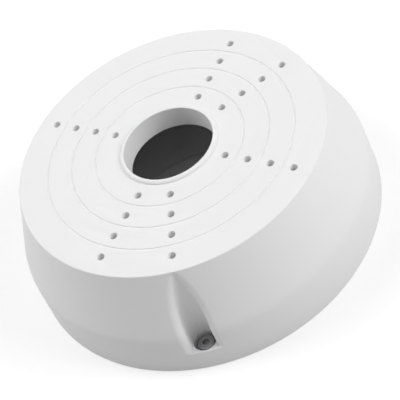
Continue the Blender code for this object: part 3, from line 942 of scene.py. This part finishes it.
def screw_seats(box_sizes):
    """The counterbores in the ledges and the screw holes below them."""
    pocket = box_sizes.pocket
    radius = pocket.channel_radius - pocket.counterbore_clearance
    top = pocket.ledge_height + box_sizes.screw.seat_gap
    seat = cylinder("seats", radius, box_sizes.counterbore_floor, top, SCREW_STEPS)
    way = cylinder("ways", box_sizes.shank_hole_radius, 0.0, pocket.ledge_height, SCREW_STEPS)
    for item in (seat, way):
        repeat_on_rays(item, POCKET_RAYS, box_sizes.pocket_centre)
    return seat, way


def build_casting(box_sizes):
    """The casting: its skin, hollowed out, with what stands inside joined on and every hole cut."""
    casting = loft("cast_housing", skin_rings(box_sizes))
    hollow = loft("hollow", cavity_rings(box_sizes))
    cut_or_join(casting, hollow, "DIFFERENCE")
    joined = []
    for number, rays in enumerate(HOLE_PATTERNS):
        joined += [device_bosses(box_sizes, rays, number), device_ribs(box_sizes, rays, number)]
    joined.append(collar(box_sizes))
    for shape in joined:
        cut_or_join(casting, shape, "UNION")
    cutters = [cable_bore(box_sizes), *screw_seats(box_sizes)]
    cutters += [face_groove(box_sizes, number) for number in range(GROOVE_COUNT)]
    cutters += [device_holes(box_sizes, rays, number) for number, rays in enumerate(HOLE_PATTERNS)]
    for shape in cutters:
        cut_or_join(casting, shape, "DIFFERENCE")
    settle(casting, hollow, *joined, *cutters)
    finish_piece(casting, white_coat(box_sizes.colours), "white_paint", "housing")


# The plate and what seals it


def build_plate(box_sizes):
    """The pressed steel plate: flat at its edge, dished forward round the cable entry."""
    plate = box_sizes.plate
    back = box_sizes.plate_back
    front = box_sizes.plate_front
    radius = box_sizes.rebate_radius - box_sizes.screw.edge_clearance
    edge = plate.edge_round
    press = plate.press_round
    profile = [
        (radius, front, edge),
        (radius, back, edge),
        (plate.dish_radius + plate.dish_rise, back, press),
        (plate.dish_radius, box_sizes.dish_back, press),
        (plate.entry_radius, box_sizes.dish_back, edge),
        (plate.entry_radius, box_sizes.dish_front, edge),
        (plate.dish_radius - plate.dish_rise, box_sizes.dish_front, press),
        (plate.dish_radius, front, press),
    ]
    made = turned("steel_plate", rounded(profile), TURNED_STEPS)
    low = back - OVERRUN
    high = front + OVERRUN
    slots = cylinder("slots", plate.slot_width / 2, low, high, SCREW_STEPS)
    for corner in slots.data.vertices:
        corner.co.x += math.copysign(plate.slot_travel / 2, corner.co.x + MERGE)
    repeat_on_rays(slots, SLOT_RAYS, plate.slot_spacing / 2)
    tapped = cylinder("tapped", box_sizes.shank_hole_radius, low, high, SCREW_STEPS)
    repeat_on_rays(tapped, POCKET_RAYS, box_sizes.pocket_centre)
    for helper in (slots, tapped):
        cut_or_join(made, helper, "DIFFERENCE")
    settle(made, slots, tapped)
    finish_piece(made, plate_coat(box_sizes.colours), "plate_coat", "base_plate")


def build_gasket(box_sizes):
    """The foam ring that seals the cable entry against the wall."""
    rubber = box_sizes.rubber
    top = box_sizes.dish_back - box_sizes.screw.seat_gap
    back = box_sizes.plate_back
    profile = [
        (rubber.gasket_outer_radius, top, rubber.gasket_round),
        (rubber.gasket_outer_radius, back, rubber.gasket_round),
        (rubber.gasket_inner_radius, back, rubber.gasket_round),
        (rubber.gasket_inner_radius, top, rubber.gasket_round),
    ]
    made = turned("foam_ring", rounded(profile), RUBBER_STEPS)
    finish_piece(made, cell_foam(box_sizes.colours), "black_rubber", "wall_gasket")


def build_grommet(box_sizes):
    """The rubber bush that grips the plate's edge and keeps cables off it."""
    rubber = box_sizes.rubber
    neck = box_sizes.plate.entry_radius - box_sizes.screw.edge_clearance
    inner = neck - rubber.grommet_wall
    flange = neck + rubber.grommet_flange
    front = box_sizes.dish_front + box_sizes.screw.seat_gap
    back = box_sizes.dish_back - box_sizes.screw.seat_gap
    edge = rubber.grommet_round
    profile = [
        (inner + rubber.grommet_lead, front + rubber.grommet_front, edge),
        (flange, front + rubber.grommet_edge, edge),
        (flange, front, edge),
        (neck, front, 0.0),
        (neck, back, 0.0),
        (flange, back, edge),
        (flange, box_sizes.plate_back, edge),
        (inner, box_sizes.plate_back, edge),
        (inner, front + rubber.grommet_edge, edge),
    ]
    made = turned("entry_bush", rounded(profile), RUBBER_STEPS)
    finish_piece(made, moulded_rubber(box_sizes.colours), "black_rubber", "entry_grommet")


# Screws and washers


def finish_pocket_pieces(item, box_sizes, finish, slot, node):
    """Repeats a piece in each pocket, and lets the copies stand for the CAD nodes of that name."""
    repeat_on_rays(item, POCKET_RAYS, box_sizes.pocket_centre, finish)
    nodes = [f"{node}_{number}" for number in range(1, len(POCKET_ANGLES) + 1)]
    finish_piece(item, finish, slot, *nodes)


def build_screws(box_sizes):
    """Button-headed machine screws with a hexagon socket, one in each pocket."""
    sizes = box_sizes.screw
    bottom = box_sizes.head_bottom
    top = bottom + sizes.head_height
    profile = [(0.0, top)]
    for turn in spread(QUARTER, FILLET_STEPS):
        radius = sizes.head_radius - sizes.head_round * (1 - math.sin(turn))
        profile.append((radius, top - sizes.head_round * (1 - math.cos(turn))))
    profile += [(sizes.head_radius, bottom), (0.0, bottom)]
    screws = turned("pocket_screws", profile, SCREW_STEPS)
    socket = cylinder("socket", sizes.hex_radius, top - sizes.hex_depth, top + OVERRUN, HEX_STEPS)
    shank = threaded_shank("shank", sizes, sizes.end_height, bottom + sizes.seal_thickness)
    cut_or_join(screws, shank, "UNION")
    cut_or_join(screws, socket, "DIFFERENCE")
    settle(screws, shank, socket)
    finish_pocket_pieces(screws, box_sizes, zinc_steel(box_sizes.colours), "screw_steel", "pocket_screw")


def build_seals(box_sizes):
    """The washers that seal the screw heads in their counterbores."""
    sizes = box_sizes.screw
    low = box_sizes.seal_bottom
    high = low + sizes.seal_thickness
    inner = box_sizes.shank_hole_radius
    corners = ((sizes.seal_edge, high), (sizes.seal_edge, low), (inner, low), (inner, high))
    seals = turned("screw_seals", rounded([(*corner, sizes.seal_round) for corner in corners]), SCREW_STEPS)
    finish_pocket_pieces(seals, box_sizes, moulded_rubber(box_sizes.colours), "black_rubber", "screw_seal")


# Shader groups that several finishes share


def new_shader_group(name, inputs, outputs):
    """An empty shader group with the given inputs of (label, default) and outputs."""
    tree = bpy.data.node_groups.new(name, "ShaderNodeTree")
    tree.interface.new_socket("Place", in_out="INPUT", socket_type="NodeSocketVector")
    for label, default in inputs:
        socket = tree.interface.new_socket(label, in_out="INPUT", socket_type="NodeSocketFloat")
        socket.default_value = default
    for label in outputs:
        tree.interface.new_socket(label, in_out="OUTPUT", socket_type="NodeSocketFloat")
    return tree, add_node(tree, "NodeGroupInput").outputs, add_node(tree, "NodeGroupOutput").inputs


def noise(tree, place, size, detail):
    """A cloudy pattern of a given size."""
    values = {"Vector": place, "Scale": maths(tree, "DIVIDE", 1.0, size), "Detail": detail}
    return add_node(tree, "ShaderNodeTexNoise", values).outputs[0]


def surface_grain():
    """A soft waviness with a finer grain on top, as a height, and a broad mottle as a mask."""
    inputs = [("Wave Size", 0.0012), ("Grain Size", 0.0003), ("Grain Share", 0.3), ("Mottle Size", 0.03)]
    tree, given, result = new_shader_group("surface_grain", inputs, ["Height", "Mottle"])
    wave = noise(tree, given["Place"], given["Wave Size"], 1.0)
    fine = noise(tree, given["Place"], given["Grain Size"], 2.0)
    broad = noise(tree, given["Place"], given["Mottle Size"], 4.0)
    tree.links.new(maths(tree, "MULTIPLY_ADD", fine, given["Grain Share"], wave), result["Height"])
    tree.links.new(broad, result["Mottle"])
    return tree


def scattered_specks():
    """A few round specks scattered over the surface, as a mask that is 1 in a speck."""
    inputs = [("Spacing", 0.006), ("Speck Size", 0.0004), ("Share", 0.2)]
    tree, given, result = new_shader_group("scattered_specks", inputs, ["Mask"])
    cells = {"Vector": given["Place"], "Scale": maths(tree, "DIVIDE", 1.0, given["Spacing"])}
    voronoi = add_node(tree, "ShaderNodeTexVoronoi", cells).outputs
    reach = maths(tree, "DIVIDE", given["Speck Size"], given["Spacing"])
    near = maths(tree, "SUBTRACT", 1.0, maths(tree, "DIVIDE", voronoi["Distance"], reach))
    rise = maths(tree, "MULTIPLY", near, SPECK_SLOPE)
    inside = maths(tree, "MINIMUM", maths(tree, "MAXIMUM", rise, 0.0), 1.0)
    pick = add_node(tree, "ShaderNodeSeparateColor", {"Color": voronoi["Color"]}).outputs["Red"]
    chosen = maths(tree, "LESS_THAN", pick, given["Share"])
    tree.links.new(maths(tree, "MULTIPLY", inside, chosen), result["Mask"])
    return tree


def turning_marks():
    """Fine rings round an axis, as a height."""
    tree, given, result = new_shader_group("turning_marks", [("Ring Size", 0.0001)], ["Height"])
    parts = add_node(tree, "ShaderNodeSeparateXYZ", {0: given["Place"]}).outputs
    across = maths(tree, "POWER", parts["X"], 2.0)
    along = maths(tree, "POWER", parts["Y"], 2.0)
    radius = maths(tree, "SQRT", maths(tree, "ADD", across, along))
    rings = {"W": maths(tree, "DIVIDE", radius, given["Ring Size"]), "Scale": 1.0, "Detail": 2.0}
    pattern = add_node(tree, "ShaderNodeTexNoise", rings, noise_dimensions="1D")
    tree.links.new(pattern.outputs[0], result["Height"])
    return tree


# Finishes


def new_finish(name):
    """A material with its Principled shader and the object's own coordinates."""
    made = bpy.data.materials.new(name)
    made.use_nodes = True
    tree = made.node_tree
    place = add_node(tree, "ShaderNodeTexCoord").outputs["Object"]
    return made, tree, tree.nodes["Principled BSDF"], place


def place_effect(tree, effect, place, **values):
    """A shared effect in a finish, with its own values. The effect is built when it is first asked for."""
    group = bpy.data.node_groups.get(effect.__name__) or effect()
    node = add_node(tree, "ShaderNodeGroup", node_tree=group)
    tree.links.new(place, node.inputs["Place"])
    for name, value in values.items():
        node.inputs[name.replace("_", " ").title()].default_value = value
    return node.outputs


def between(tree, mask, low, high):
    """A number that follows a mask from one value to another."""
    return add_node(tree, "ShaderNodeMapRange", {"Value": mask, "To Min": low, "To Max": high}).outputs[0]


def mixed(tree, mask, first, second):
    """A colour that follows a mask from one colour to another."""
    node = add_node(tree, "ShaderNodeMix", data_type="RGBA")
    tree.links.new(mask, node.inputs[0])
    for socket, value in ((node.inputs[6], first), (node.inputs[7], second)):
        if isinstance(value, bpy.types.NodeSocket):
            tree.links.new(value, socket)
        else:
            socket.default_value = (*value, 1.0)
    return node.outputs[2]


def shade_of(base, factor):
    """A colour made darker or lighter."""
    return tuple(min(channel * factor, 1.0) for channel in base)


def shaded(tree, mask, base, darkest, lightest):
    """A colour that follows a mask from a darker to a lighter shade of it."""
    return mixed(tree, mask, shade_of(base, darkest), shade_of(base, lightest))


def bump(tree, height, distance):
    """A normal that follows a height, with the relief in metres."""
    return add_node(tree, "ShaderNodeBump", {"Height": height, "Distance": distance}).outputs[0]


def connect(tree, shader, **sockets):
    """Feeds a shader's inputs."""
    for name, socket in sockets.items():
        tree.links.new(socket, shader.inputs[name.replace("_", " ").title()])


def white_coat(colours):
    """Satin powder coat: an even white with a faint orange peel and a stray speck here and there."""
    made, tree, shader, place = new_finish("white_powder_coat")
    peel = {"wave_size": 0.0011, "grain_size": 0.0003, "grain_share": 0.25}
    grain = place_effect(tree, surface_grain, place, **peel)
    specks = place_effect(tree, scattered_specks, place, spacing=0.016, speck_size=0.00032, share=0.35)
    base = tuple(colours.paint)
    even = shaded(tree, grain["Mottle"], base, 0.985, 1.015)
    connect(
        tree,
        shader,
        base_color=mixed(tree, between(tree, specks["Mask"], 0.0, 0.55), even, shade_of(base, 0.45)),
        roughness=between(tree, grain["Height"], 0.46, 0.56),
        normal=bump(tree, grain["Height"], distance=0.000012),
    )
    shader.inputs["Specular IOR Level"].default_value = COAT_GLOSS
    return made


def plate_coat(colours):
    """Dull white coat on pressed steel, slightly mottled."""
    made, tree, shader, place = new_finish("white_plate_coat")
    sizes = {"wave_size": 0.0016, "grain_size": 0.0004, "grain_share": 0.5, "mottle_size": 0.018}
    grain = place_effect(tree, surface_grain, place, **sizes)
    connect(
        tree,
        shader,
        base_color=shaded(tree, grain["Mottle"], tuple(colours.plate), 0.93, 1.07),
        roughness=between(tree, grain["Height"], 0.5, 0.68),
        normal=bump(tree, grain["Height"], distance=0.000010),
    )
    shader.inputs["Specular IOR Level"].default_value = COAT_GLOSS
    return made


def moulded_rubber(colours):
    """Matt black rubber with the fine texture of its mould, shared by the bush and the washers."""
    name = "moulded_black_rubber"
    if name in bpy.data.materials:
        return bpy.data.materials[name]
    made, tree, shader, place = new_finish(name)
    sizes = {"wave_size": 0.0009, "grain_size": 0.00018, "grain_share": 0.8, "mottle_size": 0.008}
    grain = place_effect(tree, surface_grain, place, **sizes)
    connect(
        tree,
        shader,
        base_color=shaded(tree, grain["Mottle"], tuple(colours.rubber), 0.85, 1.25),
        roughness=between(tree, grain["Height"], 0.66, 0.84),
        normal=bump(tree, grain["Height"], distance=0.000012),
    )
    return made


def cell_foam(colours):
    """Closed-cell foam: small dimples all over, with painted shade in the dimples and painted light on
    their rims.
    """
    made, tree, shader, place = new_finish("black_cell_foam")
    pattern = {"Vector": place, "Scale": FOAM_CELLS_PER_METRE}
    cells = add_node(tree, "ShaderNodeTexVoronoi", pattern).outputs["Distance"]
    connect(
        tree,
        shader,
        # The colour follows the dimples' depth: darker in each dimple is painted shade, lighter on the rims
        # between them is painted light.
        base_color=shaded(tree, cells, tuple(colours.foam), 0.6, 1.4),
        roughness=between(tree, cells, 0.8, 0.95),
        normal=bump(tree, cells, distance=0.00012),
    )
    return made


def zinc_steel(colours):
    """Dull zinc-plated steel with fine turning marks round each screw's axis."""
    made, tree, shader, place = new_finish("zinc_plated_steel")
    own = add_node(tree, "ShaderNodeAttribute", attribute_name="own_place").outputs["Vector"]
    marks = place_effect(tree, turning_marks, own, ring_size=0.00009)
    sizes = {"wave_size": 0.0006, "grain_size": 0.00015, "grain_share": 0.6, "mottle_size": 0.0016}
    grain = place_effect(tree, surface_grain, place, **sizes)
    connect(
        tree,
        shader,
        base_color=shaded(tree, grain["Mottle"], tuple(colours.steel), 0.70, 1.00),
        roughness=between(tree, grain["Mottle"], 0.4, 0.6),
        normal=bump(tree, marks["Height"], distance=0.000006),
    )
    shader.inputs["Metallic"].default_value = 1.0
    return made


# Stage


def seen_rays(tree):
    """A mask that is 1 for a ray from the camera, straight or by way of a gloss or a clear body."""
    rays = add_node(tree, "ShaderNodeLightPath").outputs
    direct_or_glossy = maths(tree, "MAXIMUM", rays["Is Camera Ray"], rays["Is Glossy Ray"])
    return maths(tree, "MAXIMUM", direct_or_glossy, rays["Is Transmission Ray"])


def floor_finish(colours):
    """A pale floor that is whitened where it is seen, and still takes the box's shadow."""
    made = bpy.data.materials.new("pale_floor")
    made.use_nodes = True
    tree = made.node_tree
    shader = tree.nodes["Principled BSDF"]
    shader.inputs["Base Color"].default_value = (*colours.floor, 1.0)
    shader.inputs["Roughness"].default_value = 1.0
    shader.inputs["Specular IOR Level"].default_value = 0.0
    place = add_node(tree, "ShaderNodeTexCoord").outputs["Object"]
    far = add_node(tree, "ShaderNodeVectorMath", {0: place}, operation="LENGTH").outputs["Value"]
    near = {"From Min": SHADOW_REACH, "To Min": FLOOR_GLOW}
    away = {"From Max": WHITE_FROM, "To Max": 1.0}
    level = add_node(tree, "ShaderNodeMapRange", {"Value": far, **near, **away}).outputs[0]
    glow = maths(tree, "MULTIPLY", seen_rays(tree), level)
    shader.inputs["Emission Color"].default_value = (1.0, 1.0, 1.0, 1.0)
    tree.links.new(glow, shader.inputs["Emission Strength"])
    return made


def build_stage(box_sizes):
    """Floor, white surroundings, soft lamps and the camera."""
    work = bmesh.new()
    bmesh.ops.create_grid(work, x_segments=1, y_segments=1, size=FLOOR_REACH)
    floor = add_object("floor", mesh_from_work("floor", work))
    floor.data.materials.append(floor_finish(box_sizes.colours))
    build_surroundings()
    for lamp in LAMPS:
        build_lamp(*lamp)
    build_camera()


def build_surroundings():
    """Soft light from all sides, white where it is seen."""
    world = bpy.data.worlds.new("surroundings")
    world.use_nodes = True
    tree = world.node_tree
    level = maths(tree, "MULTIPLY_ADD", seen_rays(tree), BACKDROP_LEVEL - SKY_LEVEL, SKY_LEVEL)
    backdrop = tree.nodes["Background"]
    backdrop.inputs["Color"].default_value = (1.0, 1.0, 1.0, 1.0)
    tree.links.new(level, backdrop.inputs["Strength"])
    bpy.context.scene.world = world


def build_lamp(name, azimuth, elevation, power):
    """A square soft lamp that faces the box."""
    lamp = bpy.data.lights.new(name, "AREA")
    lamp.size = LAMP_WIDTH
    lamp.energy = power
    made = bpy.data.objects.new(name, lamp)
    bpy.context.scene.collection.objects.link(made)
    round_axis = Matrix.Rotation(math.radians(azimuth), 3, "Z")
    way = round_axis @ Matrix.Rotation(math.radians(-elevation), 3, "Y") @ Vector((1.0, 0.0, 0.0))
    made.location = way * LAMP_DISTANCE
    made.rotation_euler = way.to_track_quat("Z", "Y").to_euler()


def build_camera():
    """The camera of the photograph."""
    camera = bpy.data.cameras.new("camera")
    camera.lens = CAMERA_LENS
    camera.sensor_width = SENSOR_WIDTH
    camera.sensor_fit = "HORIZONTAL"
    camera.clip_start = NEAREST_SEEN
    made = bpy.data.objects.new("camera", camera)
    bpy.context.scene.collection.objects.link(made)
    up = -Vector(CAMERA_DOWN)
    back = -Vector(CAMERA_FORWARD)
    turn = Matrix((CAMERA_RIGHT, up, back)).transposed().to_4x4()
    turn.translation = CAMERA_PLACE
    made.matrix_world = turn
    bpy.context.scene.camera = made
    bpy.context.scene.view_settings.view_transform = "Standard"


# Operators and panel


class BuildCasting(Operator):
    """Build the white casting with its pockets, holes, grooves and bore"""

    bl_idname = "junction_box.casting"
    bl_label = "Build casting"

    def execute(self, context):
        build_casting(context.scene.junction_box)
        return {"FINISHED"}


class BuildPlate(Operator):
    """Build the pressed steel plate that closes the back"""

    bl_idname = "junction_box.plate"
    bl_label = "Build plate"

    def execute(self, context):
        build_plate(context.scene.junction_box)
        return {"FINISHED"}


class BuildGasket(Operator):
    """Build the foam ring between the plate and the wall"""

    bl_idname = "junction_box.gasket"
    bl_label = "Build foam ring"

    def execute(self, context):
        build_gasket(context.scene.junction_box)
        return {"FINISHED"}


class BuildGrommet(Operator):
    """Build the rubber bush that lines the cable entry"""

    bl_idname = "junction_box.grommet"
    bl_label = "Build entry bush"

    def execute(self, context):
        build_grommet(context.scene.junction_box)
        return {"FINISHED"}


class BuildScrews(Operator):
    """Build the screws in the pockets"""

    bl_idname = "junction_box.screws"
    bl_label = "Build pocket screws"

    def execute(self, context):
        build_screws(context.scene.junction_box)
        return {"FINISHED"}


class BuildSeals(Operator):
    """Build the washers under the screws' heads"""

    bl_idname = "junction_box.seals"
    bl_label = "Build sealing washers"

    def execute(self, context):
        build_seals(context.scene.junction_box)
        return {"FINISHED"}


class BuildStage(Operator):
    """Build the floor, the lamps and the camera"""

    bl_idname = "junction_box.stage"
    bl_label = "Build stage"

    def execute(self, context):
        build_stage(context.scene.junction_box)
        return {"FINISHED"}


OPERATORS = (BuildCasting, BuildPlate, BuildGasket, BuildGrommet, BuildScrews, BuildSeals, BuildStage)


class JunctionBoxPanel(Panel):
    """Lists the steps that build the junction box"""

    bl_idname = "VIEW3D_PT_junction_box"
    bl_label = "Junction Box"
    bl_space_type = "VIEW_3D"
    bl_region_type = "UI"
    bl_category = "Junction Box"

    def draw(self, context):
        for operator in OPERATORS:
            self.layout.operator(operator.bl_idname)


SIZE_GROUPS = (CastingSizes, BoreSizes, FaceSizes, PocketSizes, PlateSizes, RubberSizes, ScrewSizes)
CLASSES = (*SIZE_GROUPS, FinishColours, JunctionBoxSettings, *OPERATORS, JunctionBoxPanel)


def register():
    """Makes the settings, the steps and the panel known to Blender."""
    for item in CLASSES:
        bpy.utils.register_class(item)
    bpy.types.Scene.junction_box = PointerProperty(type=JunctionBoxSettings)


def unregister():
    """Takes them out again."""
    del bpy.types.Scene.junction_box
    for item in reversed(CLASSES):
        bpy.utils.unregister_class(item)


def main():
    """Builds the box piece by piece, then the stage round it."""
    register()
    bpy.ops.junction_box.casting()
    bpy.ops.junction_box.plate()
    bpy.ops.junction_box.gasket()
    bpy.ops.junction_box.grommet()
    bpy.ops.junction_box.screws()
    bpy.ops.junction_box.seals()
    bpy.ops.junction_box.stage()


if __name__ == "__main__":
    main()
